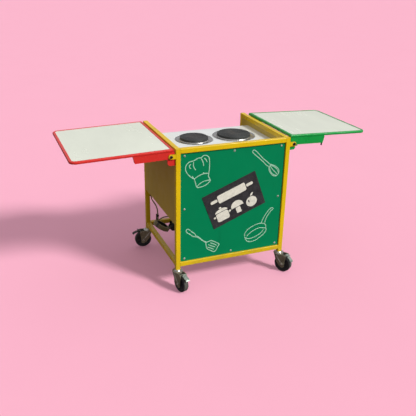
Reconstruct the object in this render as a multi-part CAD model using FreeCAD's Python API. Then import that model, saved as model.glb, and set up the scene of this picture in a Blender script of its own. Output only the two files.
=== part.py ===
import FreeCAD, Part
import math
import os
from FreeCAD import Vector

# Mobile cooking trolley: a painted tube frame on four braked casters, a hob with two
# solid hot plates in a well, and a side leaf on each hand that folds down.
# Millimetres, +Z up, floor at Z = 0. The front panel faces -Y, the cook stands at +Y.
# Everything is laid out about the middle of the frame; save() then moves it so that the
# origin lies under the middle of the whole object, whose two leaves reach unequally far.

# ---- driving dimensions ----
WIDTH = 640.0             # frame over the posts, X
DEPTH = 568.0             # frame over the posts, Y
TOP = 791.0               # top of the rails above the floor
CASTER = 119.0            # floor to the foot of a post
TUBE = 25.0               # square tube
WALL = 1.5                # tube wall
LOW_RAIL = 136.0          # underside of the low rails
SHEET = 1.5               # panel sheet
ORIGIN_SHIFT = 15.2       # X of the frame's middle, seen from the middle of the whole box

WELL = 50.0               # hob surface below the rail top
HOB_BACK = 180.0          # rear edge of the hob
HOB_HEIGHT = 57.0         # underside of the hob body below its surface
ENAMEL = 5.0              # thickness of the enamelled top
LEDGE = 7.8               # ledge that carries the hob along each side
PLATE_Y = 12.0            # row of the two hot plates
PLATES = {"left": (-112.0, 155.0), "right": (126.0, 185.0)}    # X and diameter
PLATE_RISE = 14.0         # hot plate above the hob surface
DISH_DEPTH = 3.0
DISH_MARGIN = 30.0        # dish past the edge of its hot plate
KNOB_X = 150.0
KNOB_R = 18.0

PANEL_INSET = 8.0         # front panel behind the face of the frame
PANEL_GAP = 1.5
PANEL_SHEET = 3.0
SCREW_SIDE = 23.0         # screw in from a post
SCREW_END = 16.0          # screw in from a rail

SIDE_BOTTOM = 378.0       # lower edge of a side panel

PIVOT_OUT = 24.0          # leaf pivot outside the post
PIVOT_DOWN = 37.0         # leaf pivot below the rail top
BOLT_R = 4.0
RUNNING = 0.05            # radial clearance of a turning fit
ARM_WIDTH = 14.0
ARM_SHEET = 2.0
ARM_LENGTH = 186.0        # arm from its pivot to its outer end
LUG_SHEET = 4.0
LUG_WIDTH = 24.0
FRONT_LUG = -DEPTH / 2 + 0.5
BACK_LUG = 186.0
RIM_WIDTH = 14.0
RIM_HEIGHT = 13.0
LEAF_CORNER = 34.0
LEAF_FRONT = -DEPTH / 2 + 4.0
# per hand: side of X, gap to the post, reach from the post, rear edge, top above the
# rail top, arm depth, droop in degrees, reach and height of the bump plate
LEAVES = {
    "left": (-1, 9.0, 510.0, 280.0, 0.0, 36.0, 1.6, 40.0, 33.0),
    "right": (1, 2.0, 479.0, 227.0, 11.0, 40.0, 1.9, 36.0, 19.0),
}

WHEEL_R = 50.0
WHEEL_WIDTH = 30.0
TRAIL = 34.0
AXLE_R = 5.0
KING_PIN_R = 5.0
LEVER_X = 49.5            # brake lever's pin, out from the swivel axis
LEVER_Z = 103.5
LEVER_PIN_R = 2.5
LEVER_HALF = 12.0         # half the width of a brake lever
BRAKE_STROKE = 25.0       # degrees from released to pressed
PRESSED = ["front_right"]
# heading of each caster's trail: degrees from +X towards +Y
HEADINGS = {"front_left": -75.0, "front_right": -57.0, "rear_left": 176.0,
            "rear_right": 75.0}

# mains lead: 8 mm rubber cable, clipped to the rear left post, wound on a tilted drum, plug parked
CABLE_R = 4.0
GLAND = Vector(-262, 150, 684)
GLAND_LENGTH = 32.0
COIL_CENTRE = Vector(-244.3, 202, 153.6)
COIL_TILT = 32.0          # degrees, down towards +X
COIL_OUTER = 52.0
COIL_INNER = 36.0
COIL_WIDTH = 26.0
DRUM_SHEET = 2.0
PLUG_CENTRE = Vector(-160, 234, 115)
PLUG_R = 19.0
DROP_ROUTE = [(-262, 150, 652), (-262, 150, 607), (-290, 267, 527), (-290, 267, 319),
              (-252, 250, 256), (-252, 250, 168.6), (-228, 250, 153.7)]
TAIL_ROUTE = [(-256, 242, 168), (-222, 242, 190), (-176, 239, 190), (-160, 238, 174),
              (-160, 238, 142)]
CLIP_HEIGHTS = (494.0, 339.0)     # on the inner face of the rear left post
BAND_HEIGHT = 201.0               # on the drum's upright

POST_X = WIDTH / 2 - TUBE / 2
POST_Y = DEPTH / 2 - TUBE / 2
INNER_X = WIDTH / 2 - TUBE
INNER_Y = DEPTH / 2 - TUBE
HOB_TOP = TOP - WELL
LOW_TOP = LOW_RAIL + TUBE
PANEL_Y = -DEPTH / 2 + PANEL_INSET


def box(x0, y0, z0, x1, y1, z1):
    return Part.makeBox(x1 - x0, y1 - y0, z1 - z0, Vector(x0, y0, z0))


def cylinder(radius, start, end):
    axis = end - start
    return Part.makeCylinder(radius, axis.Length, start, axis)


def ring(outer, inner, start, end):
    return cylinder(outer, start, end).cut(cylinder(inner, start, end))


def fuse(shapes):
    return shapes[0].multiFuse(shapes[1:]).removeSplitter() if len(shapes) > 1 else shapes[0]


def save(name, shapes):
    """Write one node, as one solid or as a group of separate ones."""
    shape = Part.makeCompound(shapes) if isinstance(shapes, list) else shapes
    shape.translate(Vector(ORIGIN_SHIFT, 0, 0))
    shape.exportStep("parts/" + name + ".step")


def long_edges(shape, axis):
    """The edges of a box that run along X, Y or Z."""
    return [e for e in shape.Edges if abs(abs(e.tangentAt(e.FirstParameter).dot(axis)) - 1) < 1e-6]


def tube(x0, y0, z0, x1, y1, z1):
    """A length of square tube with closed ends and rounded long edges."""
    sizes = [x1 - x0, y1 - y0, z1 - z0]
    run = sizes.index(max(sizes))
    axis = [Vector(1, 0, 0), Vector(0, 1, 0), Vector(0, 0, 1)][run]
    outer = box(x0, y0, z0, x1, y1, z1)
    outer = outer.makeFillet(2.5, long_edges(outer, axis))
    return outer.cut(box(x0 + WALL, y0 + WALL, z0 + WALL, x1 - WALL, y1 - WALL, z1 - WALL))


def outline(points, y, thickness):
    """A plate cut to points of X and Z, thickened along +Y."""
    corners = [Vector(px, y, pz) for px, pz in points]
    face = Part.Face(Part.makePolygon(corners + corners[:1]))
    return face.extrude(Vector(0, thickness, 0))


# ---- frame ----
def frame_posts():
    for name, sx, sy in (("front_left", -1, -1), ("front_right", 1, -1),
                         ("rear_left", -1, 1), ("rear_right", 1, 1)):
        cx = sx * POST_X
        cy = sy * POST_Y
        half = TUBE / 2
        save("post_" + name, tube(cx - half, cy - half, CASTER, cx + half, cy + half, TOP))


def frame_rails():
    for name, z in (("top", TOP - TUBE), ("low", LOW_RAIL)):
        save("rail_" + name + "_front", tube(-INNER_X, -DEPTH / 2, z, INNER_X, -INNER_Y, z + TUBE))
        save("rail_" + name + "_left", tube(-WIDTH / 2, -INNER_Y, z, -INNER_X, INNER_Y, z + TUBE))
        save("rail_" + name + "_right", tube(INNER_X, -INNER_Y, z, WIDTH / 2, INNER_Y, z + TUBE))
    save("rail_low_back", tube(-INNER_X, INNER_Y, LOW_RAIL, INNER_X, DEPTH / 2, LOW_TOP))
    back_z = HOB_TOP - HOB_HEIGHT - TUBE
    save("rail_mid_back", tube(-INNER_X, INNER_Y, back_z, INNER_X, DEPTH / 2, back_z + TUBE))


def side_panels():
    """Sheets between the posts, 1 mm inside their faces, with a folded lower lip."""
    for name, side in (("left", -1), ("right", 1)):
        skin = box(0, -INNER_Y, SIDE_BOTTOM, SHEET, INNER_Y, TOP - TUBE)
        lip = box(0, -INNER_Y, SIDE_BOTTOM, 14.0, INNER_Y, SIDE_BOTTOM + SHEET)
        panel = fuse([skin, lip])
        if side > 0:
            panel = panel.mirror(Vector(0, 0, 0), Vector(1, 0, 0))
        panel.translate(Vector(side * (WIDTH / 2 - 1.0), 0, 0))
        save("side_panel_" + name, panel)


def well_walls():
    """Inner walls of the hob's well, flush with the tubes above; ledges carry the hob."""
    walls = []
    floor = HOB_TOP - HOB_HEIGHT
    under = HOB_TOP - ENAMEL
    for side in (-1, 1):
        near = side * INNER_X
        far = side * (INNER_X + SHEET)
        inner = side * (INNER_X - LEDGE)
        wall = box(min(near, far), -INNER_Y, floor, max(near, far), INNER_Y, TOP - TUBE)
        ledge = box(min(inner, near), -INNER_Y + LEDGE, under - SHEET, max(inner, near),
                    HOB_BACK - 2.0, under)
        walls.append(fuse([wall, ledge]))
    walls.append(box(-INNER_X, -INNER_Y - SHEET, floor, INNER_X, -INNER_Y, TOP - TUBE))
    save("well_walls", walls)


def screw_places():
    """Three screws along the top and the bottom, one half way up each side."""
    x = INNER_X - SCREW_SIDE
    high = TOP - TUBE - SCREW_END
    low = LOW_TOP + SCREW_END
    middle = (high + low) / 2
    places = [(px, pz) for pz in (high, low) for px in (-x, 0.0, x)]
    return places + [(-x, middle), (x, middle)]


def front_panel():
    edge_x = INNER_X - PANEL_GAP
    panel = box(-edge_x, PANEL_Y, LOW_TOP + PANEL_GAP, edge_x, PANEL_Y + PANEL_SHEET,
                TOP - TUBE - PANEL_GAP)
    behind = PANEL_Y + PANEL_SHEET
    strips = [box(-INNER_X, behind, LOW_TOP, INNER_X, behind + 3.0, LOW_TOP + 28.0),
              box(-INNER_X, behind, TOP - TUBE - 28.0, INNER_X, behind + 3.0, TOP - TUBE)]
    for side in (-1, 1):
        near = side * INNER_X
        far = side * (INNER_X - 34.0)
        strips.append(box(min(near, far), behind, LOW_TOP + 28.0, max(near, far), behind + 3.0,
                          TOP - TUBE - 28.0))
    screws = []
    for x, z in screw_places():
        hole = cylinder(3.2, Vector(x, PANEL_Y - 5, z), Vector(x, behind + 8, z))
        panel = panel.cut(hole)
        strips = [strip.cut(hole) for strip in strips]
        head = cylinder(6.0, Vector(x, PANEL_Y - 3.0, z), Vector(x, PANEL_Y, z))
        rim = [e for e in head.Edges if abs(e.BoundBox.YMax - PANEL_Y + 3.0) < 0.01]
        head = head.makeFillet(2.0, rim)
        screws.append(head.fuse(cylinder(3.0, Vector(x, PANEL_Y, z), Vector(x, behind + 7, z))))
    save("front_panel", panel)
    save("panel_strips", strips)
    save("panel_screws", screws)


# ---- hob ----
def hob_top():
    """The enamelled surface: a shallow tray with a round dish under each hot plate."""
    x = INNER_X - 0.5
    top = box(-x, -INNER_Y + 0.5, HOB_TOP - ENAMEL, x, HOB_BACK, HOB_TOP)
    rim = [e for e in top.Edges if e.BoundBox.ZMin > HOB_TOP - 0.01 and e.BoundBox.YMin > HOB_BACK - 0.01]
    top = top.makeFillet(2.0, rim)
    for cx, size in PLATES.values():
        centre = Vector(cx, PLATE_Y, HOB_TOP - DISH_DEPTH)
        top = top.cut(Part.makeCone(size / 2 + DISH_MARGIN - 6, size / 2 + DISH_MARGIN, DISH_DEPTH, centre))
    save("hob_top", top)


def hob_body():
    """The closed box under the surface, with a boss behind each knob's spindle."""
    z1 = HOB_TOP - ENAMEL
    z0 = HOB_TOP - HOB_HEIGHT
    x = INNER_X - 8.0
    y0 = -INNER_Y + 8.0
    y1 = HOB_BACK - 2.0
    body = box(-x, y0, z0, x, y1, z1)
    body = body.cut(box(-x + SHEET, y0 + SHEET, z0 + SHEET, x - SHEET, y1 - SHEET, z1 - SHEET))
    for cx in (-KNOB_X, KNOB_X):
        z = (z0 + z1) / 2
        boss = cylinder(9.0, Vector(cx, y1 - 14.0, z), Vector(cx, y1 - 0.5, z))
        bore = cylinder(3.0 + RUNNING, Vector(cx, y1 - 12.0, z), Vector(cx, y1 + 1, z))
        body = body.fuse(boss).cut(bore)
    lamp_z = z0 + HOB_HEIGHT / 2
    for cx in (-KNOB_X / 3, KNOB_X / 3):
        body = body.cut(cylinder(4.2, Vector(cx, y1 - 3, lamp_z), Vector(cx, y1 + 1, lamp_z)))
    save("hob_body", body)
    lamps = []
    for cx in (-KNOB_X / 3, KNOB_X / 3):
        stem = cylinder(4.0, Vector(cx, y1 - 2, lamp_z), Vector(cx, y1, lamp_z))
        cap = cylinder(6.0, Vector(cx, y1, lamp_z), Vector(cx, y1 + 3, lamp_z))
        lamps.append(fuse([stem, cap]))
    save("hob_lamps", lamps)


def knob(name, cx):
    """A skirted knob with a finger bar, on a spindle that turns in the hob body."""
    y = HOB_BACK - 2.0
    z = HOB_TOP - ENAMEL - (HOB_HEIGHT - ENAMEL) / 2
    skirt = cylinder(KNOB_R, Vector(cx, y + 0.5, z), Vector(cx, y + 6.0, z))
    grip = Part.makeCone(KNOB_R - 4, KNOB_R - 6, 9.0, Vector(cx, y + 6.0, z), Vector(0, 1, 0))
    bar = box(cx - 3.0, y + 6.0, z - KNOB_R + 1.5, cx + 3.0, y + 19.0, z + KNOB_R - 1.5)
    spindle = cylinder(3.0, Vector(cx, y - 11.0, z), Vector(cx, y + 0.5, z))
    save(name, fuse([skirt, grip, bar, spindle]))


def hot_plate(cx, size):
    """A cast-iron plate with a shallow centre, and the steel spill ring it stands in."""
    base = HOB_TOP - DISH_DEPTH
    top = HOB_TOP + PLATE_RISE
    centre = Vector(cx, PLATE_Y, 0)
    radius = size / 2
    plate = cylinder(radius, centre + Vector(0, 0, base), centre + Vector(0, 0, top))
    edge = [e for e in plate.Edges if e.BoundBox.ZMin > top - 0.01]
    plate = plate.makeFillet(2.0, edge)
    dip = cylinder(radius * 0.28, centre + Vector(0, 0, top - 1.0), centre + Vector(0, 0, top + 1))
    trim = Part.makeCone(radius + 6.0, radius + 3.0, 5.0, centre + Vector(0, 0, base))
    hole = cylinder(radius + 0.2, centre + Vector(0, 0, base), centre + Vector(0, 0, base + 5.0))
    return plate.cut(dip), trim.cut(hole)


def hot_plates():
    rings = []
    for hand, (cx, size) in PLATES.items():
        plate, trim = hot_plate(cx, size)
        save("hot_plate_" + hand, plate)
        rings.append(trim)
    save("spill_rings", rings)


# ---- leaves ----
def pivot(side):
    return side * (WIDTH / 2 + PIVOT_OUT), TOP - PIVOT_DOWN


def droop(shape, side, angle):
    """Turn a leaf's part about its pivots, outer end down."""
    px, pz = pivot(side)
    shape.rotate(Vector(px, 0, pz), Vector(0, 1, 0), side * angle)
    return shape


def plan(x0, x1, y0, y1, corner, outer_side, z, height):
    """A leaf-shaped slab: round corners at the outer end, square ones at the frame."""
    slab = box(min(x0, x1), y0, z, max(x0, x1), y1, z + height)
    outer_x = max(x0, x1) if outer_side > 0 else min(x0, x1)
    corners = [e for e in long_edges(slab, Vector(0, 0, 1)) if abs(e.BoundBox.Center.x - outer_x) < 0.01]
    return slab.makeFillet(corner, corners)


def leaf(hand):
    side, gap, reach, back, rise, arm_depth, angle, bump_reach, bump_height = LEAVES[hand]
    top = TOP + rise
    x_in = side * (WIDTH / 2 + gap)
    x_out = side * (WIDTH / 2 + reach)
    inset = side * RIM_WIDTH
    blank = plan(x_in, x_out, LEAF_FRONT, back, LEAF_CORNER, side, top - RIM_HEIGHT, RIM_HEIGHT)
    flat = [e for e in blank.Edges if e.BoundBox.ZLength < 0.01]
    blank = blank.makeFillet(4.5, [e for e in flat if e.BoundBox.ZMin > top - 0.01])
    low = [e for e in blank.Edges if e.BoundBox.ZMax < top - RIM_HEIGHT + 0.01]
    blank = blank.makeFillet(4.0, [e for e in low if abs(e.BoundBox.Center.x - x_in) > 0.01])
    well = plan(x_in + inset, x_out - inset, LEAF_FRONT + RIM_WIDTH, back - RIM_WIDTH,
                LEAF_CORNER - RIM_WIDTH, side, top - RIM_HEIGHT + 2.0, RIM_HEIGHT)
    open_floor = plan(x_in + 2 * inset, x_out - 2 * inset, LEAF_FRONT + 2 * RIM_WIDTH,
                      back - 2 * RIM_WIDTH, 8.0, side, top - RIM_HEIGHT - 1, RIM_HEIGHT)
    strap_y = BACK_LUG + (LUG_WIDTH - ARM_WIDTH) / 2
    strap = box(min(x_in, x_out) + 2.0, strap_y, top - RIM_HEIGHT,
                max(x_in, x_out) - 2.0, strap_y + ARM_WIDTH, top - RIM_HEIGHT + 2.0)
    rim = fuse([blank.cut(well).cut(open_floor), strap])
    save("leaf_" + hand + "_rim", droop(rim, side, angle))
    play = 0.3
    board = plan(x_in + inset + side * play, x_out - inset - side * play,
                 LEAF_FRONT + RIM_WIDTH + play, back - RIM_WIDTH - play,
                 LEAF_CORNER - RIM_WIDTH, side, top - RIM_HEIGHT + 2.0, RIM_HEIGHT - 3.0)
    save("leaf_" + hand + "_top", droop(board, side, angle))
    for place, y in (("front", FRONT_LUG), ("back", BACK_LUG)):
        shape = arm(side, y + (LUG_WIDTH - ARM_WIDTH) / 2, top - RIM_HEIGHT, arm_depth)
        save("arm_" + hand + "_" + place, droop(shape, side, angle))
    plates = [bump_plate(side, FRONT_LUG, WIDTH / 2, bump_reach, bump_height),
              bump_plate(side, BACK_LUG, WIDTH / 2 - 1.0, bump_reach, bump_height)]
    save("bump_plates_" + hand, plates)
    save("lugs_" + hand, [lug(side, FRONT_LUG, WIDTH / 2), lug(side, BACK_LUG, WIDTH / 2 - 1.0)])
    save("bolts_" + hand, [bolt(side, FRONT_LUG), bolt(side, BACK_LUG)])


def arm(side, y, top, depth):
    """A folded channel, open below and over the lug, with two rounded ears on the pivot bolt."""
    px, pz = pivot(side)
    ear = 12.0
    start = px + side * 23.0
    end = px + side * ARM_LENGTH
    inboard = px - side * (PIVOT_OUT - 4.0)
    body = outline([(inboard, top), (end, top), (end + side * 2, top - 6),
                    (end - side * 5, top - depth), (start, top - depth),
                    (start, pz + ear), (inboard, pz + ear)], y, ARM_WIDTH)
    neck = box(min(px, start), y, pz - ear, max(px, start), y + ARM_WIDTH, pz + ear)
    neck = neck.fuse(cylinder(ear, Vector(px, y, pz), Vector(px, y + ARM_WIDTH, pz)))
    solid = fuse([body, neck])
    inside = box(px - 300, y + ARM_SHEET, pz - 80, px + 300, y + ARM_WIDTH - ARM_SHEET, top - ARM_SHEET)
    solid = solid.cut(inside)
    bore = cylinder(BOLT_R + RUNNING, Vector(px, y - 1, pz), Vector(px, y + ARM_WIDTH + 1, pz))
    return solid.cut(bore)


def lug(side, y, face_x):
    """Two cheeks on a base plate, bored for the pivot bolt."""
    px, pz = pivot(side)
    face = side * face_x
    outer = side * (WIDTH / 2 + 3.0)
    base = box(min(face, outer), y, pz - 12.0, max(face, outer), y + LUG_WIDTH, pz + 11.5)
    parts = [base]
    for cheek_y in (y, y + LUG_WIDTH - LUG_SHEET):
        web = box(min(px, outer), cheek_y, pz - 12.0, max(px, outer), cheek_y + LUG_SHEET, pz + 11.5)
        disc = cylinder(12.5, Vector(px, cheek_y, pz), Vector(px, cheek_y + LUG_SHEET, pz))
        parts += [web, disc]
    bore = cylinder(BOLT_R + RUNNING, Vector(px, y - 1, pz), Vector(px, y + LUG_WIDTH + 1, pz))
    return fuse(parts).cut(bore)


def hexagon(cx, y, cz, across, thickness):
    radius = across / math.sqrt(3)
    points = [(cx + radius * math.cos(math.radians(60 * i)), cz + radius * math.sin(math.radians(60 * i)))
              for i in range(6)]
    return outline(points, y, thickness)


def bolt(side, y):
    """A socket-head bolt through both cheeks, with its nut."""
    px, pz = pivot(side)
    head = cylinder(7.0, Vector(px, y - 5.0, pz), Vector(px, y, pz))
    head = head.cut(hexagon(px, y - 5.0, pz, 5.0, 3.5))
    shank = cylinder(BOLT_R, Vector(px, y, pz), Vector(px, y + LUG_WIDTH + 7.0, pz))
    nut = hexagon(px, y + LUG_WIDTH, pz, 13.0, 6.5)
    return fuse([head, shank, nut])


def bump_plate(side, lug_y, face, reach, height):
    """A round-cornered plate under a lug; the folded arm closes around it."""
    thickness = 8.0
    z1 = TOP - PIVOT_DOWN - 14.0
    y = lug_y + (LUG_WIDTH - thickness) / 2
    near = side * face
    far = side * (WIDTH / 2 + reach)
    plate = box(min(near, far), y, z1 - height, max(near, far), y + thickness, z1)
    low = [e for e in long_edges(plate, Vector(0, 1, 0))
           if e.BoundBox.ZMax < z1 - height + 0.01 and abs(e.BoundBox.Center.x - far) < 0.01]
    plate = plate.makeFillet(min(14.0, height - 2.0), low)
    high = [e for e in long_edges(plate, Vector(0, 1, 0))
            if e.BoundBox.ZMin > z1 - 0.01 and abs(e.BoundBox.Center.x - far) < 0.01]
    return plate.makeFillet(3.0, high)


def leaf_hook():
    """A blunt pin under the outer end of the right front arm, for hanging a cloth."""
    side, gap, reach, back, rise, arm_depth, angle, bump_reach, bump_height = LEAVES["right"]
    px, pz = pivot(side)
    x = px + ARM_LENGTH - 8.0
    y = FRONT_LUG + LUG_WIDTH / 2
    web = TOP + rise - RIM_HEIGHT - ARM_SHEET
    pin = cylinder(4.0, Vector(x, y, web - arm_depth - 14.0), Vector(x, y, web))
    tip = [e for e in pin.Edges if e.BoundBox.ZMax < web - arm_depth - 13.9]
    save("hook_pin", droop(pin.makeFillet(2.5, tip), side, angle))


# ---- casters ----
def place_caster(shape, name):
    """Move a caster part built about its own swivel axis, trail along +X, to its post."""
    sx = -1 if name.endswith("left") else 1
    sy = -1 if name.startswith("front") else 1
    shape.rotate(Vector(0, 0, 0), Vector(0, 0, 1), HEADINGS[name])
    shape.translate(Vector(sx * POST_X, sy * POST_Y, 0))
    return shape


def caster_head():
    """The fixed half of the swivel bearing, under the foot of the post, and its king pin."""
    head = Part.makeCone(20.0, 15.0, CASTER - 111.0, Vector(0, 0, 111.0))
    king_pin = cylinder(KING_PIN_R, Vector(0, 0, 95.5), Vector(0, 0, 111.0))
    nut = cylinder(8.0, Vector(0, 0, 95.5), Vector(0, 0, 100.5))
    return fuse([head, king_pin, nut])


def fork_leg(y):
    """One side of the fork, from the crown down past the axle."""
    leg = outline([(-20, 106), (44, 109), (54, 108), (57, 98), (50, 66), (48, 33), (40, 27),
                   (30, 28), (15, 38), (-2, 60), (-14, 92)], y, 3.0)
    return leg.makeFillet(3.0, long_edges(leg, Vector(0, 1, 0)))


def caster_fork():
    gap = WHEEL_WIDTH / 2 + 2.5
    crown = cylinder(28.0, Vector(0, 0, 102.5), Vector(0, 0, 110.7))
    crown = crown.makeFillet(4.0, [e for e in crown.Edges if e.BoundBox.ZMin > 110.6])
    bridge = box(-18, -gap - 3, 102.5, 22, gap + 3, 108.0)
    axle = cylinder(AXLE_R, Vector(TRAIL, -gap - 6, WHEEL_R), Vector(TRAIL, gap + 6, WHEEL_R))
    nuts = [cylinder(8.0, Vector(TRAIL, s * (gap + 3), WHEEL_R), Vector(TRAIL, s * (gap + 8), WHEEL_R))
            for s in (-1, 1)]
    lever_pin = cylinder(LEVER_PIN_R, Vector(LEVER_X, -gap - 1, LEVER_Z), Vector(LEVER_X, gap + 1, LEVER_Z))
    fork = fuse([crown, bridge, fork_leg(-gap - 3), fork_leg(gap), axle, lever_pin] + nuts)
    return fork.cut(cylinder(KING_PIN_R + RUNNING, Vector(0, 0, 100), Vector(0, 0, 115)))


def caster_wheel():
    half = WHEEL_WIDTH / 2
    tyre = cylinder(WHEEL_R, Vector(TRAIL, -half, WHEEL_R), Vector(TRAIL, half, WHEEL_R))
    tyre = tyre.makeFillet(5.0, [e for e in tyre.Edges if e.Length > 300 and e.BoundBox.YLength < 0.01])
    for s in (-1, 1):
        recess = ring(38.0, 13.0, Vector(TRAIL, s * half, WHEEL_R), Vector(TRAIL, s * (half - 8), WHEEL_R))
        tyre = tyre.cut(recess)
    return tyre.cut(cylinder(AXLE_R + RUNNING, Vector(TRAIL, -20, WHEEL_R), Vector(TRAIL, 20, WHEEL_R)))


def caster_pedal(pressed):
    """A brake lever that rocks on its pin: a short release tab and a longer tread."""
    rocker = outline([(47, 107.2), (58, 110.5), (66, 115), (69, 113.5), (62, 106.5), (78, 102.5),
                      (95, 95.5), (99, 90), (96.5, 88.5), (92, 93), (76, 99.5), (60, 103),
                      (53, 101)], -LEVER_HALF, 2 * LEVER_HALF)
    pin = Vector(LEVER_X, 0, LEVER_Z)
    across = Vector(0, 1, 0)
    barrel = cylinder(4.5, pin - across * LEVER_HALF, pin + across * LEVER_HALF)
    bore = cylinder(LEVER_PIN_R + RUNNING, pin - across * (LEVER_HALF + 1), pin + across * (LEVER_HALF + 1))
    lever = fuse([rocker, barrel]).cut(bore)
    if pressed:
        lever.rotate(pin, across, BRAKE_STROKE)
    return lever


def casters():
    heads = []
    for name in HEADINGS:
        heads.append(place_caster(caster_head(), name))
        save("fork_" + name, place_caster(caster_fork(), name))
        save("wheel_" + name, place_caster(caster_wheel(), name))
        save("pedal_" + name, place_caster(caster_pedal(name in PRESSED), name))
    save("caster_heads", heads)


# ---- mains lead ----
def cable(route):
    """A round cable along straight runs joined by tangent arcs, each as large as it can be."""
    points = [Vector(*p) for p in route]
    edges = []
    here = points[0]
    for before, corner, after in zip(points, points[1:], points[2:]):
        run_in = corner - before
        run_out = after - corner
        turn = run_in.getAngle(run_out)
        cut = 0.45 * min(run_in.Length, run_out.Length)
        radius = cut / math.tan(turn / 2)
        print("cable bend", round(math.degrees(turn)), "deg, radius", round(radius, 1))
        d_in = Vector(run_in).normalize()
        d_out = Vector(run_out).normalize()
        start = corner - d_in * cut
        end = corner + d_out * cut
        to_centre = (d_out - d_in).normalize()
        middle = corner + to_centre * (radius / math.cos(turn / 2) - radius)
        edges += [Part.LineSegment(here, start).toShape(), Part.Arc(start, middle, end).toShape()]
        here = end
    edges.append(Part.LineSegment(here, points[-1]).toShape())
    path = Part.Wire(edges)
    circle = Part.makeCircle(CABLE_R, points[0], points[1] - points[0])
    solid = path.makePipeShell([Part.Wire([circle])], True, True)
    expected = math.pi * CABLE_R ** 2 * path.Length
    print("cable length", round(path.Length, 1), "volume ratio", round(solid.Volume / expected, 4))
    return solid


def lead_gland():
    nut = cylinder(12.0, GLAND - Vector(0, 0, 6), GLAND)
    taper = Part.makeCone(9.0, 5.5, GLAND_LENGTH - 6, GLAND - Vector(0, 0, 6), Vector(0, 0, -1))
    save("lead_gland", fuse([nut, taper]))


def tilt_coil(shape):
    """Move a shape built about the coil's own axis to its place on the trolley."""
    shape.rotate(Vector(0, 0, 0), Vector(0, 1, 0), COIL_TILT)
    shape.translate(COIL_CENTRE)
    return shape


def lead_coil():
    """The outer shape of the coiled cable, which lies around its drum."""
    half = Vector(0, 0, COIL_WIDTH / 2)
    coil = ring(COIL_OUTER, COIL_INNER, -half, half)
    edges = [e for e in coil.Edges if e.Closed and e.BoundBox.ZLength < 0.01]
    save("lead_coil", tilt_coil(coil.makeFillet(6.0, edges)))


def lead_hooks():
    """The coil's drum on its upright, the plug's parking socket and the cable clips."""
    face = INNER_Y
    half = COIL_WIDTH / 2
    wall = ring(COIL_INNER, COIL_INNER - DRUM_SHEET, Vector(0, 0, -half), Vector(0, 0, half))
    flange = cylinder(COIL_INNER + 8.0, Vector(0, 0, -half - DRUM_SHEET), Vector(0, 0, -half))
    strap = box(-8.0, 0, -half - DRUM_SHEET, 8.0, face - COIL_CENTRE.y - 1.0, -half)
    drum = tilt_coil(fuse([wall, flange, strap]))
    ux, uy, uz = DROP_ROUTE[4]
    upright = box(ux - 8, face - 3, LOW_RAIL, ux + 8, face, BAND_HEIGHT + 9)
    band = box(ux - 7, uy - 6, BAND_HEIGHT - 5, ux + 7, face - 2, BAND_HEIGHT + 5)
    hook = fuse([drum, upright, band])
    hook = hook.cut(cylinder(CABLE_R, Vector(ux, uy, BAND_HEIGHT - 9), Vector(ux, uy, BAND_HEIGHT + 9)))
    px = PLUG_CENTRE.x
    tongue = box(px - 12, face - 3, PLUG_CENTRE.z - 22, px + 12, face, LOW_RAIL + 14.0)
    socket = cylinder(22.0, Vector(px, face - 9, PLUG_CENTRE.z), Vector(px, face - 3, PLUG_CENTRE.z))
    clips = []
    cx, cy, cz = DROP_ROUTE[3]
    for z in CLIP_HEIGHTS:
        block = box(-INNER_X, cy - 7, z - 6, cx + 6, cy + 7, z + 6)
        clips.append(block.cut(cylinder(CABLE_R, Vector(cx, cy, z - 7), Vector(cx, cy, z + 7))))
    save("lead_hooks", [hook, fuse([tongue, socket])] + clips)


def lead_plug():
    """A side-entry plug: a round body on its parking socket, and a tapered relief."""
    body = cylinder(PLUG_R, Vector(PLUG_CENTRE.x, 218, PLUG_CENTRE.z),
                    Vector(PLUG_CENTRE.x, INNER_Y - 9, PLUG_CENTRE.z))
    rim = [e for e in body.Edges if e.BoundBox.YMax < 218.01]
    body = body.makeFillet(4.0, rim)
    ex, ey, ez = TAIL_ROUTE[-1]
    foot = PLUG_CENTRE.z + PLUG_R - 4
    relief = Part.makeCone(8.0, 5.5, ez - foot, Vector(ex, ey, foot))
    save("lead_plug", fuse([body, relief]))


os.makedirs("parts", exist_ok=True)
frame_posts()
frame_rails()
side_panels()
well_walls()
front_panel()
hob_top()
hob_body()
knob("knob_left", -KNOB_X)
knob("knob_right", KNOB_X)
hot_plates()
leaf("left")
leaf("right")
leaf_hook()
casters()
lead_gland()
save("lead_drop", cable(DROP_ROUTE))
save("lead_tail", cable(TAIL_ROUTE))
lead_coil()
lead_hooks()
lead_plug()
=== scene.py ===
"""Looks of the mobile cooking trolley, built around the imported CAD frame. Metres, same frame."""
import math
import random

import bmesh
import bpy
from mathutils import Matrix, Vector


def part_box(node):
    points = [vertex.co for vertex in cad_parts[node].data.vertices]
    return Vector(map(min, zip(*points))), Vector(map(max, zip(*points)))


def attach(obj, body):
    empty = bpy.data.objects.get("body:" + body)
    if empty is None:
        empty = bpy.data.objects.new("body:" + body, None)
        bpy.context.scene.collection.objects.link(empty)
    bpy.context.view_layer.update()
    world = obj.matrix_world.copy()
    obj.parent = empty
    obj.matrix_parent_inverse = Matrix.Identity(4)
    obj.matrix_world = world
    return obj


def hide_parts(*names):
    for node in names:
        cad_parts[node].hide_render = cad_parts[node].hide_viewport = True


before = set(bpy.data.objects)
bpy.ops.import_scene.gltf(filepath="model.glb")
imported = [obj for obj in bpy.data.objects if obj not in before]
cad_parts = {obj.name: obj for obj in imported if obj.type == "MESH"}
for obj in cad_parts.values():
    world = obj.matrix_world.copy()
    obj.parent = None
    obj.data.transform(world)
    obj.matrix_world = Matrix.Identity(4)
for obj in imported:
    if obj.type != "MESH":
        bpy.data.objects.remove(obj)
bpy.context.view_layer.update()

MM = 0.001
MID_X = (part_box("post_front_left")[0].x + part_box("post_front_right")[1].x) / 2

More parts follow.
